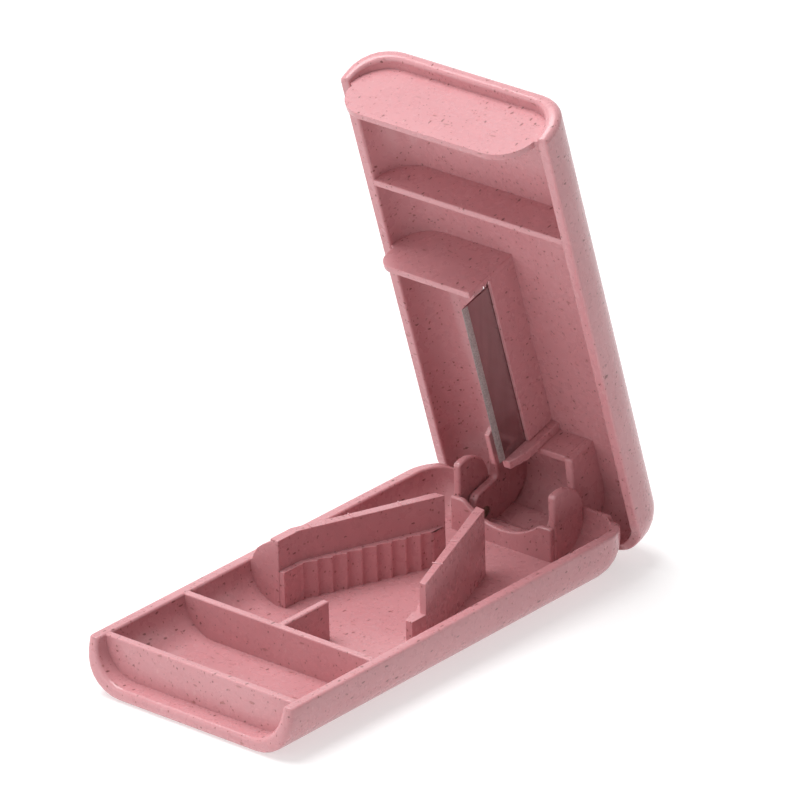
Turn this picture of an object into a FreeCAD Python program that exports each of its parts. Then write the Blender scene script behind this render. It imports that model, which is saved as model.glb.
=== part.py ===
import FreeCAD, Part
import math
import os
from types import SimpleNamespace

# Pocket pill splitter: a hinged two-shell case with a steel blade in the lid and a V-shaped
# pill holder in the base. Millimetres, +Z up, the base resting on z = 0.
# X runs across the case, and Y from the open front end to the hinge end.
# The lid is drawn closed, about the hinge axis, and is then turned open by lid_opening.

SIZES = {
    # case shells
    "case_length": 88.5, "case_width": 44.0, "half_height": 9.4,
    "side_wall": 2.1, "floor_wall": 2.5, "end_wall": 0.9,
    "plan_radius": 7.6, "edge_radius": 7.4, "lip_radius": 1.6, "lip_rake": 1.4, "rake_height": 7.0,
    "cavity_plan_radius": 6.5, "cavity_edge_radius": 6.2,
    # hinge
    "hinge_setback": 4.3, "hinge_height": 4.5, "lid_opening": 74.2, "parting_gap": 0.2,
    "pin_radius": 1.0, "pin_clearance": 0.05, "pin_inner_end": 7.7, "pin_outer_end": 10.5,
    "lug_inner": 7.6, "lug_wall": 1.7, "lug_eye_radius": 3.05, "lug_reach": 4.1, "lug_toe_radius": 1.5,
    "ear_inner": 9.5, "ear_wall": 1.5, "ear_radius": 5.2, "ear_front": 8.6, "ear_arc_back": 6.2,
    "cradle_wall": 1.0, "cradle_drop": 0.9, "cradle_radius": 12.5, "cradle_sag": 4.0,
    "swing_radius": 6.25, "corner_swing_radius": 5.3, "swing_clearance": 0.25,
    "corner_swing_inner": 16.5, "notch_half_width": 9.45, "notch_back": 0.35,
    "barrel_radius": 3.1, "barrel_wall": 1.1, "barrel_wrap": 100.0, "barrel_pocket_radius": 3.4,
    "apron_reach": 3.95,
    # base compartments
    "partition_wall": 1.4, "front_recess": 3.55, "store_end": 22.6,
    "fin_length": 11.0, "fin_wall": 1.4,
    # pill holder
    "holder_angle": 22.2, "holder_wall": 1.8, "mouth_wall": 1.3, "holder_rise": 5.1, "holder_gap": 3.4,
    "holder_apex": 69.0, "holder_mouth": 41.3, "holder_end": 38.8, "holder_straight": 13.6,
    "web_wall": 1.3, "web_fall": 5.0, "lid_play": 0.4,
    "ledge_front": 37.8, "ledge_drop": 0.4, "ledge_step": 1.5, "ledge_straight": 12.6,
    "flute_pitch": 2.73, "flute_radius": 1.2, "flute_depth": 0.5, "flute_start": 3.2, "flute_count": 9,
    # lid furniture
    "plate_setback": 2.2, "plate_wall": 1.1, "plate_drop": 5.7, "plate_gap": 0.6, "plate_radius": 6.0,
    "rib_station": 61.0, "rib_wall": 1.3,
    "rail_wall": 1.8, "rail_inset": 0.4,
    "web_station": 47.5, "blade_web_wall": 1.2, "blade_web_drop": 4.6,
    "blade_web_reach": 17.0, "blade_web_corner": 2.3, "blade_web_chamfer": 2.8,
    "blade_tail": 13.9, "blade_length": 32.2, "blade_drop": 6.2, "blade_depth": 9.2,
    "blade_wall": 0.4, "blade_edge_wall": 0.05, "bevel_depth": 1.3,
    "block_station": 10.9, "block_wall": 1.4, "block_inset": 1.2, "lug_inset": 0.8,
    "foot_drop": 5.2, "foot_width": 3.2, "post_wall": 1.0, "post_taper": 1.2,
    "tail_post_drop": 5.4, "tail_post_gap": 1.9, "tail_post_end": 19.7,
    "head_post_drop": 2.0, "head_post_gap": 1.2, "head_post_end": 45.8,
    "window_side": 2.8, "window_width": 7.6, "window_station": 33.0, "window_length": 8.5,
}

doc = FreeCAD.newDocument("PillSplitter")
sheet = doc.addObject("Spreadsheet::Sheet", "Dims")
for row, (alias, value) in enumerate(SIZES.items(), start=1):
    sheet.set("A%d" % row, alias)
    sheet.set("B%d" % row, str(value))
    sheet.setAlias("B%d" % row, alias)
doc.recompute()
d = SimpleNamespace(**{alias: float(getattr(sheet, alias)) for alias in SIZES})

ORIGIN = FreeCAD.Vector(0, 0, 0)
X_AXIS = FreeCAD.Vector(1, 0, 0)
Z_AXIS = FreeCAD.Vector(0, 0, 1)

# Places in the base, as expressions on the sheet.
FRONT = "(-Dims.case_length / 2)"
REAR = "(Dims.case_length / 2)"
FLOOR = "Dims.floor_wall"
RIM = "Dims.half_height"
HALF_INSIDE = "(Dims.case_width / 2 - Dims.side_wall)"
HINGE_Y = "(Dims.case_length / 2 - Dims.hinge_setback)"
# Places in the closed lid, measured from the hinge axis.
LID_RIM = "(Dims.half_height - Dims.hinge_height + Dims.parting_gap)"
LID_CEILING = "(2 * Dims.half_height - Dims.hinge_height - Dims.floor_wall)"
LID_TOP = "(2 * Dims.half_height - Dims.hinge_height)"
LID_FREE_END = "(Dims.hinge_setback - Dims.case_length)"

hinge_y = d.case_length / 2 - d.hinge_setback
lid_rim = d.half_height - d.hinge_height + d.parting_gap
lid_top = 2 * d.half_height - d.hinge_height


# ---------------------------------------------------------------- building blocks

def place(obj, x, y, z):
    """Bind an object's position to expressions."""
    for axis, expression in zip("xyz", (x, y, z)):
        obj.setExpression("Placement.Base." + axis, expression)
    return obj


def box(name, *spans):
    """A box from three (low, high) pairs of expressions, along X, Y and Z."""
    obj = doc.addObject("Part::Box", name)
    for prop, (low, high) in zip(("Length", "Width", "Height"), spans):
        obj.setExpression(prop, "(%s) - (%s)" % (high, low))
    return place(obj, *(low for low, high in spans))


def rod(name, radius, length, axis, x, y, z):
    """A cylinder that starts at a point and runs along an axis."""
    obj = doc.addObject("Part::Cylinder", name)
    obj.Placement = FreeCAD.Placement(ORIGIN, FreeCAD.Rotation(Z_AXIS, axis))
    obj.setExpression("Radius", radius)
    obj.setExpression("Height", length)
    return place(obj, x, y, z)


def cut(name, base, tool):
    obj = doc.addObject("Part::Cut", name)
    obj.Base = base
    obj.Tool = tool
    return obj


def fuse(name, *shapes):
    obj = doc.addObject("Part::MultiFuse", name)
    obj.Shapes = list(shapes)
    return obj


def common(name, *shapes):
    obj = doc.addObject("Part::MultiCommon", name)
    obj.Shapes = list(shapes)
    return obj


def rounded(name, source, radius, chosen):
    """Round those edges of a source that a test of the edge and its middle picks out."""
    doc.recompute()
    picks = []
    for index, edge in enumerate(source.Shape.Edges, start=1):
        middle = edge.valueAt((edge.FirstParameter + edge.LastParameter) / 2)
        if chosen(edge, middle):
            picks.append((index, radius, radius))
    obj = doc.addObject("Part::Fillet", name)
    obj.Base = source
    obj.Edges = picks
    return obj


def trough(name, half_width, y_span, z_span, bottom_at, plan_radius, edge_radius):
    """A block rounded in plan at its two rear corners, and along its bottom on all sides but the front."""
    block = box(name + "Block", ("-" + half_width, half_width), y_span, z_span)
    doc.recompute()
    bounds = block.Shape.BoundBox
    level = bounds.ZMin if bottom_at == "low" else bounds.ZMax

    def rear_corner(edge, middle):
        return edge.BoundBox.ZLength > 1 and abs(middle.y - bounds.YMax) < 0.01

    def bottom(edge, middle):
        return abs(middle.z - level) < 0.01 and middle.y > bounds.YMin + 0.01

    corners = rounded(name + "Corners", block, plan_radius, rear_corner)
    return rounded(name, corners, edge_radius, bottom)


def prism(name, outline, axis, low, high):
    """An outline drawn out along an axis. Its points are given on the other two axes, in x, y, z order."""
    at = "xyz".index(axis)
    corners = []
    for pair in outline:
        point = list(pair)
        point.insert(at, low)
        corners.append(FreeCAD.Vector(*point))
    sweep = [0, 0, 0]
    sweep[at] = high - low
    obj = doc.addObject("Part::Feature", name)
    obj.Shape = Part.Face(Part.makePolygon(corners + corners[:1])).extrude(FreeCAD.Vector(*sweep))
    return obj


def arc(centre, radius, start, end, steps=12):
    """Points along an arc, its angles in degrees from the first axis towards the second."""
    turns = [math.radians(start + (end - start) * i / steps) for i in range(steps + 1)]
    return [(centre[0] + radius * math.cos(t), centre[1] + radius * math.sin(t)) for t in turns]


sub_parts = []
lid_placement = FreeCAD.Placement(FreeCAD.Vector(0, hinge_y, d.hinge_height),
                                  FreeCAD.Rotation(X_AXIS, -d.lid_opening))


def keep(label, obj):
    """Take an object as a finished sub-part of the base."""
    obj.Label = label
    sub_parts.append(obj)


def keep_in_lid(label, obj):
    """Take an object drawn in the closed lid as a finished sub-part of the opened lid."""
    group = doc.addObject("Part::Compound", label + "_open")
    group.Links = [obj]
    group.Placement = lid_placement
    keep(label, group)


# ---------------------------------------------------------------- the two shells

def half_case(name, y_span, z_span, bottom_at):
    """The outside of a shell. Its open front end has a softened lip, raked back towards the rim."""
    solid = trough(name + "Trough", "Dims.case_width / 2", y_span, z_span, bottom_at,
                   d.plan_radius, d.edge_radius)
    doc.recompute()
    bounds = solid.Shape.BoundBox
    rim, inward = (bounds.ZMax, -1) if bottom_at == "low" else (bounds.ZMin, 1)

    def lip(edge, middle):
        return abs(middle.y - bounds.YMin) < 0.01 and abs(middle.z - rim) > 0.01

    soft = rounded(name + "Soft", solid, d.lip_radius, lip)
    wedge = prism(name + "Wedge", [
        (bounds.YMin, rim + inward * d.rake_height), (bounds.YMin + d.lip_rake, rim),
        (bounds.YMin - 1, rim), (bounds.YMin - 1, rim + inward * d.rake_height)],
        "x", -d.case_width, d.case_width)
    return cut(name, soft, wedge)


def swing_cut(name, radius, x_low, x_high, y="0", z="0"):
    """What lies behind and above the hinge axis, outside a cylinder about it."""
    corner = box(name + "Corner", (x_low, x_high), ("0", "12"), ("0", "12"))
    core = rod(name + "Core", radius, "(%s) - (%s)" % (x_high, x_low), X_AXIS, x_low, "0", "0")
    return place(cut(name, corner, core), "0", y, z)


base_outside = half_case("BaseOutside", (FRONT, REAR), ("0", RIM), "low")
base_cavity = trough("BaseCavity", HALF_INSIDE, (FRONT + " - 5", REAR + " - Dims.end_wall"),
                     (FLOOR, RIM + " + Dims.parting_gap"), "low", d.cavity_plan_radius,
                     d.cavity_edge_radius)
base_removed = fuse(
    "BaseRemoved", base_cavity,
    swing_cut("BaseSwing", "Dims.swing_radius", "-Dims.case_width", "Dims.case_width",
              HINGE_Y, "Dims.hinge_height"),
    swing_cut("BaseSwingLeft", "Dims.corner_swing_radius", "-Dims.case_width",
              "-Dims.corner_swing_inner", HINGE_Y, "Dims.hinge_height"),
    swing_cut("BaseSwingRight", "Dims.corner_swing_radius", "Dims.corner_swing_inner",
              "Dims.case_width", HINGE_Y, "Dims.hinge_height"),
    box("HingeNotch", ("-Dims.notch_half_width", "Dims.notch_half_width"),
        (HINGE_Y + " + Dims.notch_back", REAR + " + 1"), ("-1", RIM + " + 1")),
    rod("BarrelPocket", "Dims.barrel_pocket_radius", "2 * Dims.notch_half_width", X_AXIS,
        "-Dims.notch_half_width", HINGE_Y, "Dims.hinge_height"))
keep("base_shell", cut("BaseShell", base_outside, base_removed))

lid_outside = half_case("LidOutside", (LID_FREE_END, "Dims.hinge_setback"), (LID_RIM, LID_TOP), "high")
lid_cavity = trough("LidCavity", HALF_INSIDE,
                    (LID_FREE_END + " - 5", "Dims.hinge_setback - Dims.end_wall"),
                    (LID_RIM + " - 4", LID_CEILING), "high", d.cavity_plan_radius,
                    d.cavity_edge_radius)
end_swing = rod("LidEndSwing", "Dims.swing_radius + Dims.swing_clearance",
                "2 * Dims.corner_swing_inner", X_AXIS, "-Dims.corner_swing_inner", "0", "0")
side_swing = rod("LidSideSwing", "Dims.corner_swing_radius + Dims.swing_clearance",
                 "Dims.case_width", X_AXIS, "-Dims.case_width / 2", "0", "0")
blade_window = box("BladeWindow",
                   ("-Dims.window_side - Dims.window_width", "-Dims.window_side"),
                   ("-Dims.window_station - Dims.window_length", "-Dims.window_station"),
                   (LID_RIM, LID_TOP + " + 1"))
lid_removed = fuse("LidRemoved", lid_cavity, end_swing, side_swing, blade_window)
lid_shell = cut("LidShell", lid_outside, lid_removed)
keep_in_lid("lid_shell", lid_shell)

# ---------------------------------------------------------------- base partitions and pill stop


def across_base(label, y_low, wall):
    slab = box(label + "_slab", ("-Dims.case_width", "Dims.case_width"),
               (y_low, y_low + " + " + wall), ("0", RIM))
    keep(label, common(label + "_wall", slab, base_cavity))


fin_start = FRONT + " + Dims.store_end + Dims.partition_wall"
across_base("front_partition", FRONT + " + Dims.front_recess", "Dims.partition_wall")
across_base("rear_partition", FRONT + " + Dims.store_end", "Dims.partition_wall")
keep("pill_stop_fin", box("PillStopFin", ("-Dims.fin_wall / 2", "Dims.fin_wall / 2"),
                          (fin_start, fin_start + " + Dims.fin_length"), (FLOOR, RIM)))

# ---------------------------------------------------------------- V-shaped pill holder

front_y = -d.case_length / 2
apex_y = front_y + d.holder_apex
mouth_y = front_y + d.holder_mouth
end_y = front_y + d.holder_end
ledge_y = front_y + d.ledge_front
slope = math.tan(math.radians(d.holder_angle))
wall_across = d.holder_wall / math.cos(math.radians(d.holder_angle))
holder_top = d.half_height + d.holder_rise
ledge_top = d.half_height - d.ledge_drop

holder_room = fuse("HolderRoom", base_cavity,
                   box("HolderRoomTop",
                       ("Dims.lid_play - " + HALF_INSIDE, HALF_INSIDE + " - Dims.lid_play"),
                       (FRONT, REAR), (RIM, RIM + " + 8")))


def leg_x(y):
    """How far the V's inner face stands from the middle at a station along the case."""
    return d.holder_gap + slope * (apex_y - y)


def leg_y(x):
    """The station where the V's inner face stands this far from the middle."""
    return apex_y - (x - d.holder_gap) / slope


def flutes(name, side):
    """Upright rods set into a ledge's face, one for each flute that they cut."""
    rods = []
    for i in range(int(d.flute_count)):
        along = d.flute_start + d.flute_pitch * (i + 1)
        y = apex_y - along * math.cos(math.radians(d.holder_angle))
        x = leg_x(y) - d.ledge_step - d.flute_radius + d.flute_depth
        rods.append(rod("%s%d" % (name, i), "Dims.flute_radius", RIM, Z_AXIS,
                        "%.3f" % (side * x), "%.3f" % y, FLOOR))
    return fuse(name, *rods)


def ledge(label, side, front_outline):
    """The low fluted block before a wall. It runs straight where the V nears the blade's channel."""
    outline = front_outline + [(d.holder_gap, apex_y), (d.holder_gap, leg_y(d.holder_gap + d.ledge_step))]
    block = prism(label + "_block", mirrored(outline, side), "z", d.floor_wall, ledge_top)
    keep(label, common(label + "_fitted", cut(label + "_fluted", block, flutes(label + "_flutes", side)),
                       holder_room))


def mirrored(outline, side):
    return [(side * x, y) for x, y in outline]


mouth_outer = leg_x(mouth_y) + d.mouth_wall
right_leg = prism("RightPillWallLeg", [
    (leg_x(mouth_y), mouth_y), (d.holder_gap, apex_y), (d.holder_gap + wall_across, apex_y),
    (mouth_outer, mouth_y)], "z", d.floor_wall, holder_top)
keep("right_pill_wall", common("RightPillWall", right_leg, holder_room))
ledge("right_fluted_ledge", 1, [
    (leg_x(ledge_y) - d.ledge_step, ledge_y), (mouth_outer, ledge_y), (mouth_outer, mouth_y),
    (leg_x(mouth_y), mouth_y)])

# The left wall runs straight past its elbow, and a web ties it to the case.
elbow_y = leg_y(d.holder_straight)
straight_outer = d.holder_straight + d.holder_wall
left_leg = prism("LeftPillWallLeg", mirrored([
    (d.holder_gap, apex_y), (d.holder_straight, elbow_y), (d.holder_straight, end_y),
    (straight_outer, end_y), (straight_outer, elbow_y), (d.holder_gap + wall_across, apex_y)], -1),
    "z", d.floor_wall, holder_top)
keep("left_pill_wall", common("LeftPillWall", left_leg, holder_room))
ledge("left_fluted_ledge", -1, [
    (d.ledge_straight, leg_y(d.ledge_straight + d.ledge_step)), (d.ledge_straight, end_y),
    (d.holder_straight, end_y), (d.holder_straight, elbow_y)])

web_outline = [(-straight_outer, d.floor_wall), (-d.case_width / 2, d.floor_wall),
               (-d.case_width / 2, holder_top - d.web_fall), (-straight_outer, holder_top)]
web_blank = prism("HolderWebBlank", web_outline, "y", end_y, end_y + d.web_wall)
keep("holder_web", common("HolderWeb", web_blank, holder_room))

# ---------------------------------------------------------------- hinge: cradle, ears and pins

ear_front = d.case_length / 2 - d.ear_front
ear_centre = (d.case_length / 2 - d.ear_arc_back, d.half_height)


def ear(label, low):
    """An upright lug whose top is an arc, with a blind hole for the hinge pin."""
    start = math.degrees(math.acos((ear_front - ear_centre[0]) / d.ear_radius))
    outline = [(ear_front, d.floor_wall)] + arc(ear_centre, d.ear_radius, start, 0)
    outline += [(ear_centre[0] + d.ear_radius, d.floor_wall)]
    blank = prism(label + "_blank", outline, "x", low, low + d.ear_wall)
    hole = rod(label + "_hole", "Dims.pin_radius", "2 * Dims.pin_outer_end", X_AXIS,
               "-Dims.pin_outer_end", HINGE_Y, "Dims.hinge_height")
    keep(label, cut(label + "_drilled", common(label + "_fitted", blank, holder_room), hole))


ear("right_hinge_ear", d.ear_inner)
ear("left_hinge_ear", -d.ear_inner - d.ear_wall)

cradle_front = "(%s - Dims.ear_front - Dims.cradle_wall)" % REAR
cradle_slab = box("CradleSlab", ("-Dims.ear_inner - Dims.ear_wall", "Dims.ear_inner + Dims.ear_wall"),
                  (cradle_front, cradle_front + " + Dims.cradle_wall"),
                  (FLOOR, RIM + " - Dims.cradle_drop"))
cradle_dip = rod("CradleDip", "Dims.cradle_radius", "Dims.cradle_wall + 2", FreeCAD.Vector(0, 1, 0),
                 "0", cradle_front + " - 1", RIM + " - Dims.cradle_sag + Dims.cradle_radius")
keep("hinge_cradle", cut("HingeCradle", cradle_slab, cradle_dip))

pin_length = "Dims.pin_outer_end - Dims.pin_inner_end"
keep("right_hinge_pin", rod("RightHingePin", "Dims.pin_radius", pin_length, X_AXIS,
                            "Dims.pin_inner_end", HINGE_Y, "Dims.hinge_height"))
keep("left_hinge_pin", rod("LeftHingePin", "Dims.pin_radius", pin_length, X_AXIS,
                           "-Dims.pin_outer_end", HINGE_Y, "Dims.hinge_height"))

# ---------------------------------------------------------------- lid: end plate and cross rib

plate_half = "(%s - Dims.plate_gap)" % HALF_INSIDE
plate_near = "(%s + Dims.plate_setback)" % LID_FREE_END
plate_span = (plate_near, plate_near + " + Dims.plate_wall")
plate_tongue = box("EndPlateTongue", ("-" + plate_half, plate_half), plate_span,
                   (LID_RIM + " - Dims.parting_gap - Dims.plate_drop", LID_RIM + " + 1.5"))
plate_back = common("EndPlateBack", lid_cavity,
                    box("EndPlateSlab", ("-Dims.case_width", "Dims.case_width"), plate_span,
                        (LID_RIM, LID_TOP)))
tongue_low = lid_rim - d.parting_gap - d.plate_drop
plate_tip = rounded("EndPlateTip", plate_tongue, d.plate_radius,
                    lambda edge, middle: edge.BoundBox.YLength > 0.5 and abs(middle.z - tongue_low) < 0.01)
keep_in_lid("lid_end_plate", fuse("EndPlate", plate_back, plate_tip))

rib_slab = box("CrossRibSlab", ("-Dims.case_width", "Dims.case_width"),
               ("-Dims.rib_station - Dims.rib_wall", "-Dims.rib_station"), (LID_RIM, LID_TOP))
keep_in_lid("lid_cross_rib", common("CrossRib", rib_slab, lid_cavity))

# ---------------------------------------------------------------- lid: blade and its holder

blade_tip_z = lid_rim - d.parting_gap - d.blade_drop
blade_tail = -d.blade_tail
blade_head = -d.blade_tail - d.blade_length


blade_shoulder = blade_tip_z + d.bevel_depth
blade_spine = blade_tip_z + d.blade_depth
keep_in_lid("blade", prism("BladeStrip", [
    (-d.blade_edge_wall / 2, blade_tip_z), (d.blade_edge_wall / 2, blade_tip_z),
    (d.blade_wall / 2, blade_shoulder), (d.blade_wall / 2, blade_spine),
    (-d.blade_wall / 2, blade_spine), (-d.blade_wall / 2, blade_shoulder)],
    "y", blade_head, blade_tail))
blade_slot = prism("BladeSlot", [
    (-d.blade_wall / 2, blade_shoulder), (d.blade_wall / 2, blade_shoulder),
    (d.blade_wall / 2, blade_spine), (-d.blade_wall / 2, blade_spine)], "y", blade_head, blade_tail)

rail = box("BladeRailBar", ("-Dims.rail_wall / 2", "Dims.rail_wall / 2"),
           ("-Dims.web_station", "-Dims.blade_tail"), (LID_RIM + " + Dims.rail_inset", LID_TOP))
foot = box("BladeFoot", ("-Dims.rail_wall / 2", "Dims.foot_width - Dims.rail_wall / 2"),
           ("-Dims.blade_tail", "-Dims.block_station - Dims.block_wall"),
           (LID_RIM + " - Dims.parting_gap - Dims.foot_drop", LID_TOP))
lid_room = fuse("LidRoom", lid_cavity,
                box("LidRoomBelow", ("-" + HALF_INSIDE, HALF_INSIDE),
                    (LID_FREE_END, "Dims.hinge_setback"), ("-6", LID_RIM)))
keep_in_lid("blade_rail", cut("BladeRail", common("BladeRailFitted", rail, lid_room), blade_slot))
keep_in_lid("blade_foot", common("BladeFootFitted", foot, lid_room))

web_low = lid_rim - d.parting_gap - d.blade_web_drop
blade_web_blank = prism("BladeWebBlank", [
    (d.rail_wall / 2, web_low), (-d.blade_web_reach, web_low),
    (-d.blade_web_reach - d.blade_web_corner, web_low + d.blade_web_chamfer),
    (-d.case_width / 2, lid_top), (d.rail_wall / 2, lid_top)],
    "y", -d.web_station - d.blade_web_wall, -d.web_station)
keep_in_lid("blade_web", common("BladeWeb", blade_web_blank, lid_room))


def post(label, gap, y_low, y_high, drop):
    """A finger beside the blade that keeps it from bending away from the cut."""
    z_low = lid_rim - d.parting_gap - drop
    outline = [(y_high, z_low), (y_low + d.post_taper, z_low), (y_low, z_low + 2 * d.post_taper),
               (y_low, lid_top), (y_high, lid_top)]
    blank = prism(label + "_blank", outline, "x", -gap - d.post_wall, -gap)
    keep_in_lid(label, common(label + "_fitted", blank, lid_room))


post("tail_blade_post", d.tail_post_gap, -d.tail_post_end, -d.block_station - d.block_wall,
     d.tail_post_drop)
post("head_blade_post", d.head_post_gap, -d.web_station, -d.head_post_end, d.head_post_drop)

# ---------------------------------------------------------------- lid: hinge block

keep_in_lid("hinge_block_web", common("HingeBlockWeb", lid_room, box(
    "HingeBlockWebSlab", ("-Dims.lug_inner", "Dims.lug_inner"),
    ("-Dims.block_station - Dims.block_wall", "-Dims.block_station"),
    (LID_RIM + " + Dims.block_inset", LID_TOP))))


def lug(label, low):
    """A side plate of the hinge block, reaching past the rim to its eye on the hinge axis."""
    eye = d.lug_eye_radius
    block_front = -d.block_station - d.block_wall
    toe = (d.lug_toe_radius - d.lug_reach, -0.35)
    outline = [(block_front, lid_top), (block_front, lid_rim + d.lug_inset),
               (-d.lug_reach - 0.4, lid_rim - 0.5), (-d.lug_reach, lid_rim - 1.1)]
    outline += arc(toe, d.lug_toe_radius, 180, 258, 6) + arc((0, 0), eye, 235, 360, 12) + [(eye, lid_top)]
    blank = prism(label + "_blank", outline, "x", low, low + d.lug_wall)
    hole = rod(label + "_hole", "Dims.pin_radius + Dims.pin_clearance", "Dims.case_width", X_AXIS,
               "-Dims.case_width / 2", "0", "0")
    keep_in_lid(label, cut(label + "_drilled", common(label + "_fitted", blank, lid_room), hole))


lug("right_hinge_lug", d.lug_inner)
lug("left_hinge_lug", -d.lug_inner - d.lug_wall)

# The apron closes the hinge notch: it drops from the lid's end and curls under as a barrel.
barrel_inner = d.barrel_radius - d.barrel_wall
apron_outline = [(d.apron_reach, lid_rim + 1.5), (d.apron_reach, 1.0)]
apron_outline += arc((0, 0), d.barrel_radius, 8, -d.barrel_wrap, 16)
apron_outline += arc((0, 0), barrel_inner, -d.barrel_wrap, 20, 16)
apron_outline += [(d.apron_reach - d.barrel_wall, 2.0), (d.apron_reach - d.barrel_wall, lid_rim + 1.5)]
apron_blank = prism("HingeApronBlank", apron_outline, "x", -d.lug_inner, d.lug_inner)
keep_in_lid("hinge_apron", cut("HingeApron", apron_blank, lid_shell))

# ---------------------------------------------------------------- check and write

doc.recompute()
failed = [obj.Name for obj in doc.Objects if "Invalid" in obj.State or "Error" in obj.State]
failed += [obj.Label for obj in sub_parts if obj.Shape.isNull() or not obj.Shape.isValid()]
if failed:
    raise RuntimeError("these did not build: " + ", ".join(failed))

os.makedirs("parts", exist_ok=True)
for obj in sub_parts:
    obj.Shape.exportStep("parts/%s.step" % obj.Label)
    bounds = obj.Shape.BoundBox
    print("%-22s solids %d  volume %8.1f  z %6.2f to %6.2f" % (
        obj.Label, len(obj.Shape.Solids), obj.Shape.Volume, bounds.ZMin, bounds.ZMax))
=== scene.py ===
import math

import bmesh
import bpy
from mathutils import Matrix, Vector, noise


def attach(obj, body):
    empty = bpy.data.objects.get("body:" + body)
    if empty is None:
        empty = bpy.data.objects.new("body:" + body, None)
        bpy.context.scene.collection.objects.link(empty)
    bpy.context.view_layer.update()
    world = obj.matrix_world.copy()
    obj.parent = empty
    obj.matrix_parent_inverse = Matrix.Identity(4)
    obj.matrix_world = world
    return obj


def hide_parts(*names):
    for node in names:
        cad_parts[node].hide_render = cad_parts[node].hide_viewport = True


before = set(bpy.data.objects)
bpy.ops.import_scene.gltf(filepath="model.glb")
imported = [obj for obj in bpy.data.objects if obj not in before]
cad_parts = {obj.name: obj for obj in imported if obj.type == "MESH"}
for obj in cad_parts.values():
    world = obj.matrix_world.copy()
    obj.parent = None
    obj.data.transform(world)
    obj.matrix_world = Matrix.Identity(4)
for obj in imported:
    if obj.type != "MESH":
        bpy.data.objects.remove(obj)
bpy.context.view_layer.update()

MM = 0.001

# ------------------------------------------------------------------ sizes, in millimetres
# The case: two halves with one outline.
LENGTH, WIDTH, HALF_HEIGHT = 88.5, 44.0, 9.4
FRONT, REAR = -LENGTH / 2, LENGTH / 2
SIDE_WALL, FLOOR_WALL, END_WALL = 2.1, 2.5, 0.9
PLAN_R, EDGE_R, CAVITY_PLAN_R, CAVITY_EDGE_R = 7.6, 7.4, 6.5, 6.2
INSIDE = WIDTH / 2 - SIDE_WALL
GAP = 0.2

# The open front end: the lip is rounded outside, flares inside, and leans back towards the rim.
LIP_R, FLARE_R = 1.25, 0.8
RAKE, RAKE_HEIGHT, RAKE_STRAIGHT = 1.4, 7.0, 0.6
END_REACH = 6.0

# The rounding of the rims. The back wall is thinner, so it gets a smaller share of it.
ROUND_RIM, BACK_SHARE = 0.42, 0.7

# The hinge, and the rims that curl round it.
SETBACK, OPENING = 4.3, 74.2
HINGE_Y, HINGE_Z = REAR - SETBACK, 4.5
SWING_R, CORNER_SWING_R, CORNER_INNER = 6.25, 5.3, 16.5
SWING_CLEARANCE, LOWEST_CURL = 0.25, 2.0
NOTCH_HALF, NOTCH_BACK, POCKET_R = 9.45, 0.35, 3.4
PIN_R, BORE_R = 1.0, 1.05

# The closed lid, measured from the hinge axis.
LID_RIM = HALF_HEIGHT - HINGE_Z + GAP
LID_TOP = 2 * HALF_HEIGHT - HINGE_Z
LID_CEILING = LID_TOP - FLOOR_WALL
LID_FREE, LID_HEEL = SETBACK - LENGTH, SETBACK

# How far the parts inside bite into their shell, and how far their tops stay below its rim.
EMBED, SUNK = 0.35, 0.02
FLOOR_IN, RIM_IN, CEILING_IN = FLOOR_WALL - EMBED, HALF_HEIGHT - SUNK, LID_CEILING + EMBED
CORNER_X, BITE_R, BITE_X = INSIDE - CAVITY_EDGE_R, CAVITY_EDGE_R + EMBED, INSIDE + 0.3

# The usual rounding of an edge, and the angle from which an edge is rounded.
SOFT, SOFT_STEPS, SOFT_FROM = 0.28, 3, 28

HINGE = Vector((0, HINGE_Y, HINGE_Z))
LID_TURN = Matrix.Rotation(math.radians(-OPENING), 3, "X")


def in_base(p):
    return Vector(p) * MM


def in_lid(p):
    """From the closed lid, measured from the hinge axis, to the opened lid."""
    return (HINGE + LID_TURN @ Vector(p)) * MM


PLACES = {"base": in_base, "lid": in_lid}


# ------------------------------------------------------------------ materials

WHITE, BLACK = (1, 1, 1), (0, 0, 0)


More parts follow.
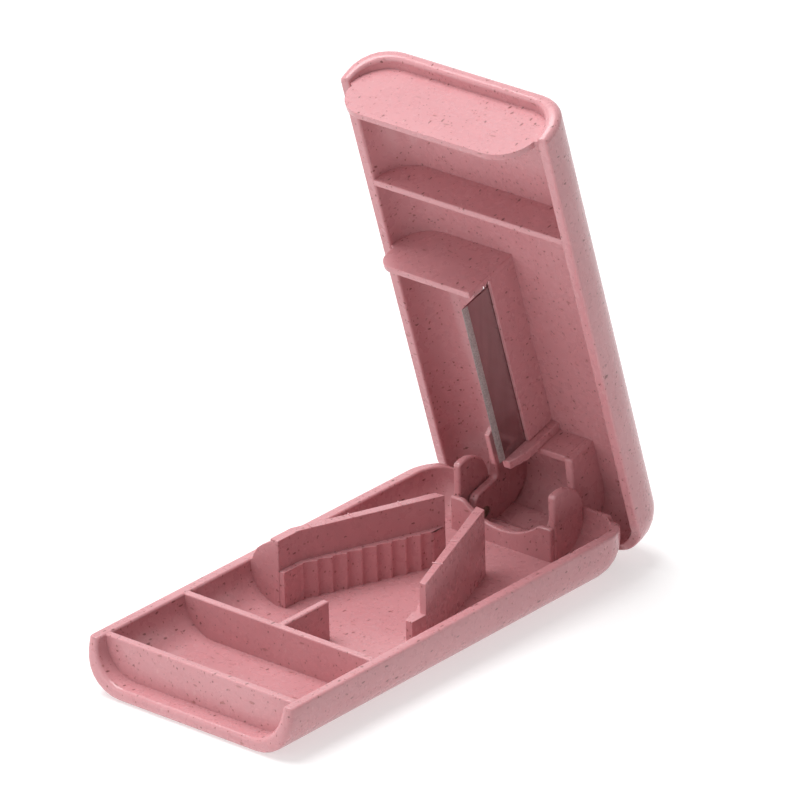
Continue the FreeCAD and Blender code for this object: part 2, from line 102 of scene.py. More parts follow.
class Nodes:
    """A material's node tree, with short ways to add to it."""

    def __init__(self, name):
        self.material = bpy.data.materials.new(name)
        self.material.use_nodes = True
        self.tree = self.material.node_tree
        self.shader = next(n for n in self.tree.nodes if n.type == "BSDF_PRINCIPLED")

    def add(self, kind, **settings):
        """A node. Each setting is one of its properties or, failing that, one of its inputs."""
        node = self.tree.nodes.new(kind)
        for key, value in settings.items():
            if hasattr(node, key):
                setattr(node, key, value)
            else:
                node.inputs[key].default_value = value
        return node

    def link(self, source, target):
        self.tree.links.new(source, target)

    def coordinates(self, scale=(1, 1, 1), turn=(0, 0, 0)):
        where = self.add("ShaderNodeTexCoord")
        mapping = self.add("ShaderNodeMapping", Scale=scale, Rotation=turn)
        self.link(where.outputs["Object"], mapping.inputs["Vector"])
        return mapping.outputs["Vector"]

    def ramp(self, factor, *stops):
        node = self.add("ShaderNodeValToRGB")
        for element, (place, color) in zip(node.color_ramp.elements, stops):
            element.position = place
            element.color = (*color, 1)
        self.link(factor, node.inputs["Fac"])
        return node.outputs["Color"]

    def noise(self, scale, detail, vector=None):
        node = self.add("ShaderNodeTexNoise", Scale=scale, Detail=detail)
        self.link(vector or self.coordinates(), node.inputs["Vector"])
        return node.outputs["Fac"]

    def mix(self, factor, under, over):
        """A plain colour laid over another one, as much as the factor says."""
        node = self.add("ShaderNodeMix", data_type="RGBA")
        first, second = [s for s in node.inputs if s.type == "RGBA"]
        self.link(under, first)
        second.default_value = (*over, 1)
        self.link(factor, next(s for s in node.inputs if s.type == "VALUE"))
        return next(s for s in node.outputs if s.type == "RGBA")

    def maths(self, operation, first, *numbers):
        node = self.add("ShaderNodeMath", operation=operation)
        self.link(first, node.inputs[0])
        for socket, number in zip(node.inputs[1:], numbers):
            socket.default_value = number
        return node.outputs["Value"]

    def bump(self, height, distance, strength):
        node = self.add("ShaderNodeBump", Strength=strength, Distance=distance)
        self.link(height, node.inputs["Height"])
        self.link(node.outputs["Normal"], self.shader.inputs["Normal"])


# Straw flecks, in the order in which they are laid: pale, fine grains, brown, dark. Each row has the
# cells to a metre, the size in cells, the share of cells that hold one, the strength, the pattern's
# stretch and turn, and the colour.
FLECKS = (
    (760, 0.20, 0.14, 0.30, (1.0, 1.0, 0.6), (0.1, 1.1, 0.2), (0.70, 0.45, 0.44)),
    (1500, 0.26, 0.30, 0.75, (1.0, 1.0, 0.7), (0.5, 0.1, 1.3), (0.24, 0.07, 0.065)),
    (640, 0.17, 0.36, 0.55, (0.40, 1.0, 1.0), (0.9, 0.2, 0.4), (0.24, 0.075, 0.06)),
    (940, 0.21, 0.30, 0.78, (1.0, 0.45, 1.0), (0.3, 0.5, 0.9), (0.12, 0.032, 0.026)),
)
FLECK_CORE = 0.55
WOBBLE_SCALE, WOBBLE_REACH = 1.7, 0.5


def flecks(n, scale, size, share, stretch, turn):
    """One fleck in each chosen cell of a Voronoi pattern, drawn out along one direction."""
    wobble = n.add("ShaderNodeTexNoise", Scale=scale * WOBBLE_SCALE, Detail=2)
    place = n.coordinates(stretch, turn)
    n.link(place, wobble.inputs["Vector"])
    shifted = n.add("ShaderNodeVectorMath", operation="MULTIPLY_ADD")
    n.link(wobble.outputs["Color"], shifted.inputs[0])
    shifted.inputs[1].default_value = (WOBBLE_REACH / scale,) * 3
    n.link(place, shifted.inputs[2])
    cells = n.add("ShaderNodeTexVoronoi", Scale=scale, Randomness=1.0)
    n.link(shifted.outputs["Vector"], cells.inputs["Vector"])
    spot = n.ramp(cells.outputs["Distance"], (size * FLECK_CORE, WHITE), (size, BLACK))
    pick = n.add("ShaderNodeSeparateColor")
    n.link(cells.outputs["Color"], pick.inputs["Color"])
    chosen = n.maths("LESS_THAN", pick.outputs["Red"], share)
    both = n.add("ShaderNodeMath", operation="MULTIPLY")
    n.link(spot, both.inputs[0])
    n.link(chosen, both.inputs[1])
    return both.outputs["Value"]


def plastic(name):
    """Pink plastic: two soft tones, a fine darker grain, straw flecks and a faintly uneven gloss."""
    n = Nodes(name)
    color = n.ramp(n.noise(70, 4), (0.30, (0.550, 0.246, 0.268)), (0.70, (0.595, 0.284, 0.306)))
    color = n.mix(n.maths("MULTIPLY", n.noise(3200, 2), 0.34), color, (0.47, 0.195, 0.205))
    for scale, size, share, strength, stretch, turn, tint in FLECKS:
        spots = flecks(n, scale, size, share, stretch, turn)
        color = n.mix(n.maths("MULTIPLY", spots, strength), color, tint)
    n.link(color, n.shader.inputs["Base Color"])
    n.link(n.maths("MULTIPLY_ADD", n.noise(500, 3), 0.14, 0.21), n.shader.inputs["Roughness"])
    n.shader.inputs["Specular IOR Level"].default_value = 0.5
    n.shader.inputs["Subsurface Weight"].default_value = 0.12
    n.shader.inputs["Subsurface Radius"].default_value = (1.0, 0.42, 0.38)
    n.shader.inputs["Subsurface Scale"].default_value = 0.0012
    n.bump(n.noise(900, 4), 0.00006, 0.5)
    return n.material


def steel(name, low, high, roughness, grain):
    """Steel between two greys, with streaks as fine along each axis as the grain says."""
    n = Nodes(name)
    streak = n.noise(1.0, 3, n.coordinates(grain))
    n.link(n.ramp(streak, (0.35, low), (0.65, high)), n.shader.inputs["Base Color"])
    n.shader.inputs["Metallic"].default_value = 1.0
    n.link(n.maths("MULTIPLY_ADD", streak, 0.12, roughness), n.shader.inputs["Roughness"])
    n.bump(streak, 0.00002, 0.4)
    return n.material


PINK = plastic("speckled_pink_plastic")
# The blade's two greys lean rose. This is a painted reflection of the pink case, laid over the steel's
# own grey.
BLADE = steel("bright_blade_painted_pink_reflection", (0.36, 0.31, 0.31), (0.43, 0.38, 0.38), 0.12, (500, 500, 60))
GROUND = steel("ground_edge", (0.30, 0.29, 0.28), (0.52, 0.50, 0.49), 0.45, (4500, 4500, 4500))
PIN = steel("dull_pin", (0.20, 0.18, 0.13), (0.34, 0.31, 0.24), 0.30, (300, 1500, 1500))


# ------------------------------------------------------------------ outlines

def arc(centre, radius, start, end, steps=10):
    turns = [math.radians(start + (end - start) * i / steps) for i in range(steps + 1)]
    return [(centre[0] + radius * math.cos(t), centre[1] + radius * math.sin(t)) for t in turns]


def circle(centre, radius):
    return arc(centre, radius, 0, 345, 23)


def rectangle(x_low, x_high, y_low, y_high):
    return [(x_low, y_low), (x_high, y_low), (x_high, y_high), (x_low, y_high)]


def mirrored(outline):
    return [(-x, y) for x, y in outline]


def section(floor, rim):
    """The U-shaped section of a cavity across X and height, grown so that it bites its shell."""
    half, bottom = INSIDE + EMBED, floor - EMBED
    left = arc((-half + BITE_R, bottom + BITE_R), BITE_R, 180, 270)
    right = arc((half - BITE_R, bottom + BITE_R), BITE_R, 270, 360)
    return [(-half, rim)] + left + right + [(half, rim)]


def lid_section(rim):
    return [(x, -z) for x, z in section(-LID_CEILING, -rim)]


# ------------------------------------------------------------------ pieces

def piece(name, mesh, body, slot="wheat_straw_plastic", materials=(PINK,), crease=34):
    """Put a mesh that is in its body's millimetres in place, as the form of its CAD node."""
    for vertex in mesh.vertices:
        vertex.co = PLACES[body](vertex.co)
    obj = bpy.data.objects.new(name + "_form", mesh)
    bpy.context.collection.objects.link(obj)
    for material in materials:
        mesh.materials.append(material)
    for polygon in mesh.polygons:
        polygon.use_smooth = True
    mesh.set_sharp_from_angle(angle=math.radians(crease))
    weighted = obj.modifiers.new("weighted", "WEIGHTED_NORMAL")
    weighted.keep_sharp = True
    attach(obj, body)
    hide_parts(name)


def finished(bm, name, soft):
    """Weld and orient a mesh, and round its corners."""
    bmesh.ops.remove_doubles(bm, verts=bm.verts, dist=0.001)
    bmesh.ops.recalc_face_normals(bm, faces=bm.faces)
    if soft:
        sharp = [e for e in bm.edges if len(e.link_faces) == 2
                 and e.calc_face_angle() > math.radians(SOFT_FROM)]
        bmesh.ops.bevel(bm, geom=sharp, offset=soft, segments=SOFT_STEPS, profile=0.5,
                        affect="EDGES", clamp_overlap=True)
        bmesh.ops.recalc_face_normals(bm, faces=bm.faces)
    mesh = bpy.data.meshes.new(name)
    bm.to_mesh(mesh)
    bm.free()
    return mesh


def drawn_out(outline, axis, low, high):
    """A closed outline drawn out along an axis."""
    bm = bmesh.new()
    at_axis = "xyz".index(axis)
    ends = []
    for level in (low, high):
        ring = []
        for pair in outline:
            point = list(pair)
            point.insert(at_axis, level)
            ring.append(bm.verts.new(point))
        ends.append(ring)
    near, far = ends
    bm.faces.new(near)
    bm.faces.new(list(reversed(far)))
    for i in range(len(near)):
        j = (i + 1) % len(near)
        bm.faces.new((near[i], far[i], far[j], near[j]))
    return bm


# A moulding burr on a wall's top: along the wall, across it, up.
BURR = (1.9, 0.22, 0.34)


def slab(name, outline, axis, low, high, body, soft=SOFT, burrs=(), **look):
    """A drawn-out piece. Each burr is X, Y and its turn about Z."""
    bm = drawn_out(outline, axis, low, high)
    for x, y, turned in burrs:
        place = Matrix.Translation((x, y, high)) @ Matrix.Rotation(math.radians(turned), 4, "Z")
        bmesh.ops.create_cube(bm, size=1.0, matrix=place @ Matrix.Diagonal((*BURR, 1.0)))
    piece(name, finished(bm, name, soft), body, **look)


def cutter(outline, axis, low, high):
    return finished(drawn_out(outline, axis, low, high), "cutter", 0)


def carved(mesh, *cutters):
    """A mesh with solids cut out of it by exact booleans."""
    blank = bpy.data.objects.new("blank", mesh)
    bpy.context.collection.objects.link(blank)
    for solid in cutters:
        helper = bpy.data.objects.new("helper", solid)
        bpy.context.collection.objects.link(helper)
        cut = blank.modifiers.new("cut", "BOOLEAN")
        cut.operation = "DIFFERENCE"
        cut.solver = "EXACT"
        cut.object = helper
        graph = bpy.context.evaluated_depsgraph_get()
        result = bpy.data.meshes.new_from_object(blank.evaluated_get(graph))
        blank.modifiers.remove(cut)
        blank.data = result
        bpy.data.objects.remove(helper)
    bpy.data.objects.remove(blank)
    return result


# ------------------------------------------------------------------ shells

SIDE_STEPS, CORNER_STEPS, BACK_STEPS = 14, 12, 24
EDGE_TURNS = [math.radians(90 * i / 7) for i in range(8)]
RIM_TURNS = [math.radians(t) for t in (0, 30, 60, 90)]
LIP_TURNS = [math.radians(t) for t in (0, 22.5, 45, 67.5, 90)]
TIGHTEST_R = 0.15


def end_curve(front, radius, sense):
    """A wall's turn at the open end: places along Y, each with how far the wall draws in there.

    A sense of -1 makes it open out instead.
    """
    return [(front + radius * (1 - math.cos(t)), sense * radius * (1 - math.sin(t)))
            for t in LIP_TURNS]


def plan_path(half, back, radius, front, curve, sideways):
    """One ring of a shell, from the front end on the left round the back to the right."""
    left = [(-half + shrink * sideways, y) for y, shrink in curve]
    even = front + END_REACH
    for i in range(SIDE_STEPS):
        left.append((-half, even + (back - radius - even) * i / SIDE_STEPS))
    left += arc((-half + radius, back - radius), radius, 180, 90, CORNER_STEPS)
    edge = half - radius
    middle = [(-edge + 2 * edge * i / BACK_STEPS, back) for i in range(1, BACK_STEPS)]
    return left + middle + mirrored(reversed(left))


def rake(from_end, level):
    """How far back a point near the open end leans. It grows with height and fades along Y."""
    share = min(max((level - HALF_HEIGHT + RAKE_HEIGHT) / RAKE_HEIGHT, 0.0), 1.0)
    reach = min(max((END_REACH - from_end) / END_REACH, 0.0), 1.0)
    return RAKE * reach * share * (RAKE_STRAIGHT + (1 - RAKE_STRAIGHT) * share)


def shell_rings(front, back, rim_at):
    """The rings of a trough: up the cavity, over the rounded rim and down the outside.

    The front is open. Heights run up from the outside face.
    """
    lip, flare = end_curve(front, LIP_R, 1), end_curve(front, FLARE_R, -1)
    rings = []

    def add(half, end, radius, level_at, curve, sideways, upwards):
        path = plan_path(half, end, max(radius, TIGHTEST_R), front, curve, sideways)
        ring = []
        for index, (x, y) in enumerate(path):
            column = min(index, len(path) - 1 - index)
            rise = curve[column][1] * upwards if column < len(curve) else 0.0
            level = level_at(x, y) + rise
            ring.append((x, y + rake(y - front, level), level))
        rings.append(ring)

    def flat(level):
        return lambda x, y: level

    def below_rim(drop):
        return lambda x, y: rim_at(x, y) - drop

    for t in EDGE_TURNS:
        inset = CAVITY_EDGE_R * (1 - math.sin(t))
        level = FLOOR_WALL + CAVITY_EDGE_R * (1 - math.cos(t))
        add(INSIDE - inset, back - END_WALL - inset, CAVITY_PLAN_R - inset, flat(level),
            flare, math.sin(t), math.cos(t))
    for t in RIM_TURNS:
        grow, drop = ROUND_RIM * (1 - math.cos(t)), ROUND_RIM * (1 - math.sin(t))
        add(INSIDE + grow, back - END_WALL + grow * BACK_SHARE, CAVITY_PLAN_R + grow,
            below_rim(drop), flare, 1, 0)
    for t in RIM_TURNS:
        shrink, drop = ROUND_RIM * (1 - math.sin(t)), ROUND_RIM * (1 - math.cos(t))
        add(WIDTH / 2 - shrink, back - shrink * BACK_SHARE, PLAN_R - shrink,
            below_rim(drop), lip, 1, 0)
    for t in EDGE_TURNS:
        inset = EDGE_R * (1 - math.cos(t))
        level = EDGE_R * (1 - math.sin(t))
        add(WIDTH / 2 - inset, back - inset, PLAN_R - inset, flat(level),
            lip, math.cos(t), math.sin(t))
    return rings


def shell_mesh(name, rings):
    """The skin over a shell's rings. Its open front is closed between the inside and the outside."""
    bm = bmesh.new()
    grid = [[bm.verts.new(point) for point in ring] for ring in rings]
    for inner, outer in zip(grid, grid[1:]):
        for i in range(len(inner) - 1):
            bm.faces.new((inner[i], inner[i + 1], outer[i + 1], outer[i]))

    # The cavity's floor and the outside face: strips along the lip's turn, then one face.
    turned = len(LIP_TURNS) - 1
    for flat in (grid[0], grid[-1]):
        count = len(flat)
        bm.faces.new(flat[turned:count - turned])
        for i in range(turned):
            bm.faces.new((flat[i], flat[i + 1], flat[count - 2 - i], flat[count - 1 - i]))

    # The open front: up both walls, and along the floor between them.
    half = len(grid) // 2
    for side in (0, -1):
        for i in range(half - 1):
            bm.faces.new((grid[half - 1 - i][side], grid[half - 2 - i][side],
                          grid[half + 1 + i][side], grid[half + i][side]))
    bm.faces.new((grid[0][0], grid[0][-1], grid[-1][-1], grid[-1][0]))
    return finished(bm, name, 0)


def swing_radius(x):
    """The rims' curl round the hinge is tighter at the case's corners."""
    return SWING_R if abs(x) < CORNER_INNER else CORNER_SWING_R


def base_rim(x, y):
    """Level, then curling down behind the hinge so that the lid can swing."""
    if y <= HINGE_Y:
        return HALF_HEIGHT
    curl = math.sqrt(max(swing_radius(x) ** 2 - (y - HINGE_Y) ** 2, LOWEST_CURL ** 2))
    return min(HALF_HEIGHT, HINGE_Z + curl)


def lid_rim(x, y):
    """Level, then clearing the base's curl, as a height from the lid's outside face."""
    radius = swing_radius(x) + SWING_CLEARANCE
    return LID_TOP - max(LID_RIM, math.sqrt(max(radius ** 2 - y ** 2, 0.0)))


# Each cutter reaches past what it cuts.
notch = cutter(rectangle(-NOTCH_HALF, NOTCH_HALF, HINGE_Y + NOTCH_BACK, REAR + 3), "z", -2, 12)
pocket = cutter(circle((HINGE_Y, HINGE_Z), POCKET_R), "x", -NOTCH_HALF, NOTCH_HALF)
base_blank = shell_mesh("base_shell", shell_rings(FRONT, REAR, base_rim))
piece("base_shell", carved(base_blank, notch, pocket), "base")

WINDOW_SIDE, WINDOW_WIDTH, WINDOW_STATION, WINDOW_LENGTH = 2.8, 7.6, 33.0, 8.5
window = cutter(rectangle(-WINDOW_SIDE - WINDOW_WIDTH, -WINDOW_SIDE,
                          -WINDOW_STATION - WINDOW_LENGTH, -WINDOW_STATION), "z", 8, 16)
lid_rings = [[(x, y, LID_TOP - z) for x, y, z in ring]
             for ring in shell_rings(LID_FREE, LID_HEEL, lid_rim)]
piece("lid_shell", carved(shell_mesh("lid_shell", lid_rings), window), "lid")

# ------------------------------------------------------------------ base: partitions and stop fin
PARTITION, FRONT_RECESS, STORE_END = 1.4, 3.55, 22.6
FIN_HALF, FIN_LENGTH, FIN_BITE = 0.7, 11.0, 0.3


def at(station):
    """A station along the case, counted from its front end."""
    return FRONT + station


across = section(FLOOR_WALL, RIM_IN)
for name, station in (("front_partition", FRONT_RECESS), ("rear_partition", STORE_END)):
    slab(name, across, "y", at(station), at(station + PARTITION), "base")

fin_start = STORE_END + PARTITION
fin = rectangle(at(fin_start - FIN_BITE), at(fin_start + FIN_LENGTH), FLOOR_IN, RIM_IN)
slab("pill_stop_fin", fin, "x", -FIN_HALF, FIN_HALF, "base", soft=0.32)

# ------------------------------------------------------------------ base: pill holder
HOLDER_ANGLE, HOLDER_GAP, HOLDER_WALL, MOUTH_WALL = 22.2, 3.4, 1.8, 1.3
APEX, MOUTH, END, LEDGE = at(69.0), at(41.3), at(38.8), at(37.8)
HOLDER_TOP, LEDGE_TOP = HALF_HEIGHT + 5.1, HALF_HEIGHT - 0.4
STRAIGHT, LEDGE_STRAIGHT = 13.6, 12.6
WALL_SOFT, LEDGE_SOFT = 0.13, 0.16
LEDGE_STEP, LEDGE_BITE, APEX_CUT = 1.5, 0.5, 0.2
SLOPE = math.tan(math.radians(HOLDER_ANGLE))
ACROSS = HOLDER_WALL / math.cos(math.radians(HOLDER_ANGLE))
FLUTE_PITCH = 2.73 * math.cos(math.radians(HOLDER_ANGLE))

# A narrow ridge, then a shallow scallop: share of the pitch, depth.
FLUTE = ((0.0, 0.0), (0.10, 0.0), (0.16, 0.42), (0.45, 0.52), (0.72, 0.36), (0.97, 0.0))
FLUTES_PAST_END = 0.6


def leg_x(y):
    """The V's right inner face, as the distance from the middle."""
    return HOLDER_GAP + SLOPE * (APEX - y)


def leg_y(x):
    return APEX - (x - HOLDER_GAP) / SLOPE


def flank(low_y, high_y):
    """A ledge's fluted face, from its mouth towards the apex."""
    starts = []
    start = high_y + FLUTES_PAST_END - FLUTE_PITCH
    while start > low_y:
        starts.append(start)
        start -= FLUTE_PITCH
    points = []
    for start in reversed(starts):
        for share, depth in FLUTE:
            y = start + FLUTE_PITCH * share
            points.append((leg_x(y) - LEDGE_STEP + depth, y))
    return points


def burrs_on(side, offset, stations):
    """Burrs along a pill wall's top, an offset outside its inner face."""
    return [(side * (leg_x(at(station)) + offset), at(station), side * HOLDER_ANGLE)
            for station in stations]


outer_x = leg_x(MOUTH) + MOUTH_WALL
right_wall = [(leg_x(MOUTH), MOUTH), (HOLDER_GAP, APEX), (HOLDER_GAP + ACROSS, APEX - APEX_CUT),
              (outer_x, MOUTH)]
slab("right_pill_wall", right_wall, "z", FLOOR_IN, HOLDER_TOP, "base", soft=WALL_SOFT,
     burrs=burrs_on(1, 0.72, (48.5, 56.5)))

straight_end = END + 0.06
left_wall = [(HOLDER_GAP, APEX), (STRAIGHT, leg_y(STRAIGHT)), (STRAIGHT, straight_end),
             (STRAIGHT + HOLDER_WALL, straight_end), (STRAIGHT + HOLDER_WALL, leg_y(STRAIGHT)),
             (HOLDER_GAP + ACROSS, APEX - APEX_CUT)]
slab("left_pill_wall", mirrored(left_wall), "z", FLOOR_IN, HOLDER_TOP, "base", soft=WALL_SOFT,
     burrs=burrs_on(-1, 0.9, (46.5, 53.5, 62.0)))

# Near the apex both ledges run straight along the gap, and they bite into their walls.
throat_y = leg_y(HOLDER_GAP + LEDGE_STEP)
throat = [(HOLDER_GAP, throat_y), (HOLDER_GAP, APEX - APEX_CUT),
          (HOLDER_GAP + LEDGE_BITE, APEX - APEX_CUT)]
ledge_back, ledge_side = MOUTH + 0.1, outer_x - 0.02
right_ledge = [(leg_x(LEDGE) - LEDGE_STEP, LEDGE)] + flank(LEDGE + 2.5, throat_y) + throat
right_ledge += [(leg_x(MOUTH) + LEDGE_BITE, ledge_back), (ledge_side, ledge_back),
                (ledge_side, LEDGE)]
slab("right_fluted_ledge", right_ledge, "z", FLOOR_IN, LEDGE_TOP, "base", soft=LEDGE_SOFT)

bend_y = leg_y(LEDGE_STRAIGHT + LEDGE_STEP)
left_ledge = [(STRAIGHT + LEDGE_BITE, END + 0.1), (LEDGE_STRAIGHT, END + 0.1),
              (LEDGE_STRAIGHT, bend_y)]
left_ledge += flank(bend_y + 0.3, throat_y) + throat
left_ledge += [(STRAIGHT + LEDGE_BITE, leg_y(STRAIGHT))]
slab("left_fluted_ledge", mirrored(left_ledge), "z", FLOOR_IN, LEDGE_TOP, "base", soft=LEDGE_SOFT)

# The web from the left wall to the case's side. Its top falls in a curve to the rim.
WEB_WALL = 1.3
web_x = -STRAIGHT - 0.04
web = [(web_x, FLOOR_IN), (-CORNER_X - 0.5, FLOOR_IN)]
web += arc((-CORNER_X, FLOOR_WALL + CAVITY_EDGE_R), BITE_R, 262, 184, 8)
web += [(-BITE_X, HALF_HEIGHT - 0.1), (-19.5, HALF_HEIGHT + 0.3), (-19.2, 10.6), (-18.4, 11.9),
        (-17.2, 12.9), (-15.6, 13.9), (web_x, HOLDER_TOP - SUNK)]
slab("holder_web", web, "y", END, END + WEB_WALL, "base", soft=WALL_SOFT)

# ------------------------------------------------------------------ base: hinge cradle, ears and pins
EAR_INNER, EAR_WALL, EAR_R, EAR_SOFT = 9.5, 1.5, 5.2, 0.46
EAR_OUTER = EAR_INNER + EAR_WALL
HEEL_IN, HEEL_UP = 2.0, 2.4
PIN_INNER, PIN_OUTER = 7.7, 10.5
CRADLE_WALL, CRADLE_R, CRADLE_SAG, CRADLE_TURN = 1.0, 12.5, 4.0, 36.0
CRADLE_HALF, CRADLE_DROP, KNUCKLE_X, KNUCKLE_R = 10.9, 0.9, 8.9, 2.0

ear_front = REAR - 8.6
ear_centre = (REAR - 6.2, HALF_HEIGHT)
ear_back = ear_centre[0] + EAR_R
ear_start = math.degrees(math.acos((ear_front - ear_centre[0]) / EAR_R))
ear = [(ear_front, FLOOR_IN)] + arc(ear_centre, EAR_R, ear_start, 0, 16)
ear += [(ear_back, FLOOR_WALL + HEEL_UP), (ear_back - HEEL_IN, FLOOR_IN)]
slab("right_hinge_ear", ear, "x", EAR_INNER, EAR_OUTER, "base", soft=EAR_SOFT)
slab("left_hinge_ear", ear, "x", -EAR_OUTER, -EAR_INNER, "base", soft=EAR_SOFT)

shoulder = HALF_HEIGHT - CRADLE_DROP
dip = arc((0, HALF_HEIGHT - CRADLE_SAG + CRADLE_R), CRADLE_R, 270 + CRADLE_TURN, 270 - CRADLE_TURN, 20)
knuckle = arc((KNUCKLE_X, shoulder - KNUCKLE_R), KNUCKLE_R, 78, 128, 6)
cradle = [(-CRADLE_HALF, FLOOR_IN), (CRADLE_HALF, FLOOR_IN), (CRADLE_HALF, shoulder)] + knuckle + dip
cradle += mirrored(reversed(knuckle)) + [(-CRADLE_HALF, shoulder)]
slab("hinge_cradle", cradle, "y", ear_front - CRADLE_WALL, ear_front + 0.05, "base", soft=0.34)

pin = circle((HINGE_Y, HINGE_Z), PIN_R)
for name, low, high in (("right_hinge_pin", PIN_INNER, PIN_OUTER),
                        ("left_hinge_pin", -PIN_OUTER, -PIN_INNER)):
    slab(name, pin, "x", low, high, "base", soft=0.18, slot="bright_steel", materials=(PIN,))

# ------------------------------------------------------------------ lid: end plate, rib and blade web
PLATE_WALL, PLATE_R, PLATE_GAP = 1.1, 6.0, 0.6
RIB_STATION, RIB_WALL = 61.0, 1.3
WEB_STATION, BLADE_WEB_WALL, BLADE_WEB_X, BLADE_WEB_R = 47.5, 1.2, 19.3, 3.0
STEP_UP, STEP_DOWN = 0.45, 0.05
RAIL_HALF = 0.9


def hung(drop):
    """The height of what hangs down by a drop past the base's rim in the closed case."""
    return LID_RIM - GAP - drop


tongue, tongue_half = hung(5.7), INSIDE - PLATE_GAP
plate_half = INSIDE + EMBED
plate = lid_section(LID_RIM)[1:-1]
plate += [(plate_half, LID_RIM + STEP_UP), (tongue_half, LID_RIM - STEP_DOWN)]
plate += arc((tongue_half - PLATE_R, tongue + PLATE_R), PLATE_R, 0, -90)
plate += arc((-tongue_half + PLATE_R, tongue + PLATE_R), PLATE_R, -90, -180)
plate += [(-tongue_half, LID_RIM - STEP_DOWN), (-plate_half, LID_RIM + STEP_UP)]
plate_y = LID_FREE + 2.2
slab("lid_end_plate", plate, "y", plate_y, plate_y + PLATE_WALL, "lid", soft=0.3)

slab("lid_cross_rib", lid_section(LID_RIM + SUNK), "y", -RIB_STATION - RIB_WALL, -RIB_STATION, "lid",
     soft=0.25)

web_low = hung(4.6)
blade_web = [(RAIL_HALF, CEILING_IN), (RAIL_HALF, web_low)]
blade_web += arc((-BLADE_WEB_X + BLADE_WEB_R, web_low + BLADE_WEB_R), BLADE_WEB_R, 270, 180, 8)
blade_web += [(-BLADE_WEB_X, LID_RIM - 0.1), (-BITE_X, LID_RIM + 0.3)]
blade_web += arc((-CORNER_X, LID_CEILING - CAVITY_EDGE_R), BITE_R, 180, 90)
slab("blade_web", blade_web, "y", -WEB_STATION - BLADE_WEB_WALL, -WEB_STATION, "lid", soft=0.25)

# ------------------------------------------------------------------ lid: blade, rail and posts
BLADE_TAIL, BLADE_LENGTH, BLADE_DEPTH, BEVEL_DEPTH = -13.9, 32.2, 9.2, 1.3
BLADE_HALF, EDGE_HALF, SLOT_HALF = 0.2, 0.02, 0.22
BLADE_STATIONS, WAVE, WAVE_RATE = 40, 0.02, 1.7
tip = hung(6.2)
bevel_top, spine = tip + BEVEL_DEPTH, tip + BLADE_DEPTH


def blade_mesh():
    """A steel strip with a ground bevel on each side of a faintly wavy cutting edge."""
    bm = bmesh.new()
    profile = [(-BLADE_HALF, spine), (-BLADE_HALF, bevel_top), (-EDGE_HALF, tip), (EDGE_HALF, tip),
               (BLADE_HALF, bevel_top), (BLADE_HALF, spine)]
    rings = []
    for index in range(BLADE_STATIONS + 1):
        y = BLADE_TAIL - BLADE_LENGTH * index / BLADE_STATIONS
        at_end = index in (0, BLADE_STATIONS)
        wave = 0.0 if at_end else WAVE * noise.noise(Vector((y * WAVE_RATE, 3.0, 0.0)))
        rings.append([bm.verts.new((x, y, z + (wave if z == tip else 0.0))) for x, z in profile])
    # The flanks are bright steel. Their rose tint is a painted reflection of the pink case. The bevels
    # and the edge between them are ground.
    for first, second in zip(rings, rings[1:]):
        for i in range(len(profile) - 1):
            face = bm.faces.new((first[i], second[i], second[i + 1], first[i + 1]))
            face.material_index = 1 if i in (1, 2, 3) else 0
        bm.faces.new((first[-1], second[-1], second[0], first[0]))
    bm.faces.new(rings[0])
    bm.faces.new(list(reversed(rings[-1])))
    bmesh.ops.recalc_face_normals(bm, faces=bm.faces)
    mesh = bpy.data.meshes.new("blade")
    bm.to_mesh(mesh)
    bm.free()
    return mesh


piece("blade", blade_mesh(), "lid", slot="bright_steel", materials=(BLADE, GROUND), crease=8)

rail_low = LID_RIM + 0.4
rail = [(-RAIL_HALF, CEILING_IN), (-RAIL_HALF, rail_low), (-SLOT_HALF, rail_low),
        (-SLOT_HALF, spine + 0.05)]
rail += mirrored(reversed(rail))
slab("blade_rail", rail, "y", -WEB_STATION - 0.2, BLADE_TAIL, "lid", soft=0.12)

foot_low = hung(5.2)
foot = [(-RAIL_HALF, CEILING_IN), (-RAIL_HALF, foot_low + 0.6), (-0.3, foot_low), (1.1, foot_low),
        (2.3, foot_low + 3.2), (2.3, CEILING_IN)]
slab("blade_foot", foot, "y", BLADE_TAIL + 0.05, -12.2, "lid", soft=0.22)


POST_WALL, TAPER_IN, TAPER_UP = 1.0, 1.2, 2.4


def post(name, gap, low_y, high_y, drop):
    """A post beside the blade, on its left, with a tapered corner."""
    z = hung(drop)
    outline = [(high_y, z), (low_y + TAPER_IN, z), (low_y, z + TAPER_UP), (low_y, CEILING_IN),
               (high_y, CEILING_IN)]
    slab(name, outline, "x", -gap - POST_WALL, -gap, "lid", soft=0.2)


post("tail_blade_post", 1.9, -19.7, -12.3, 5.4)
post("head_blade_post", 1.2, -47.6, -45.8, 2.0)

# ------------------------------------------------------------------ lid: hinge block
LUG_INNER, LUG_WALL, EYE_R, TOE_R = 7.6, 1.7, 3.05, 1.5
LUG_OUTER = LUG_INNER + LUG_WALL
BLOCK_FRONT, BLOCK_BACK, BLOCK_BITE, BLOCK_INSET = -12.25, -10.9, 0.2, 1.2
APRON_REACH, APRON_HALF, BARREL_R, BARREL_INNER_R = 3.95, 7.9, 3.1, 2.0

block_half = LUG_INNER + BLOCK_BITE
block = rectangle(-block_half, block_half, LID_RIM + BLOCK_INSET, CEILING_IN)
slab("hinge_block_web", block, "y", BLOCK_FRONT, BLOCK_BACK, "lid", soft=0.25)

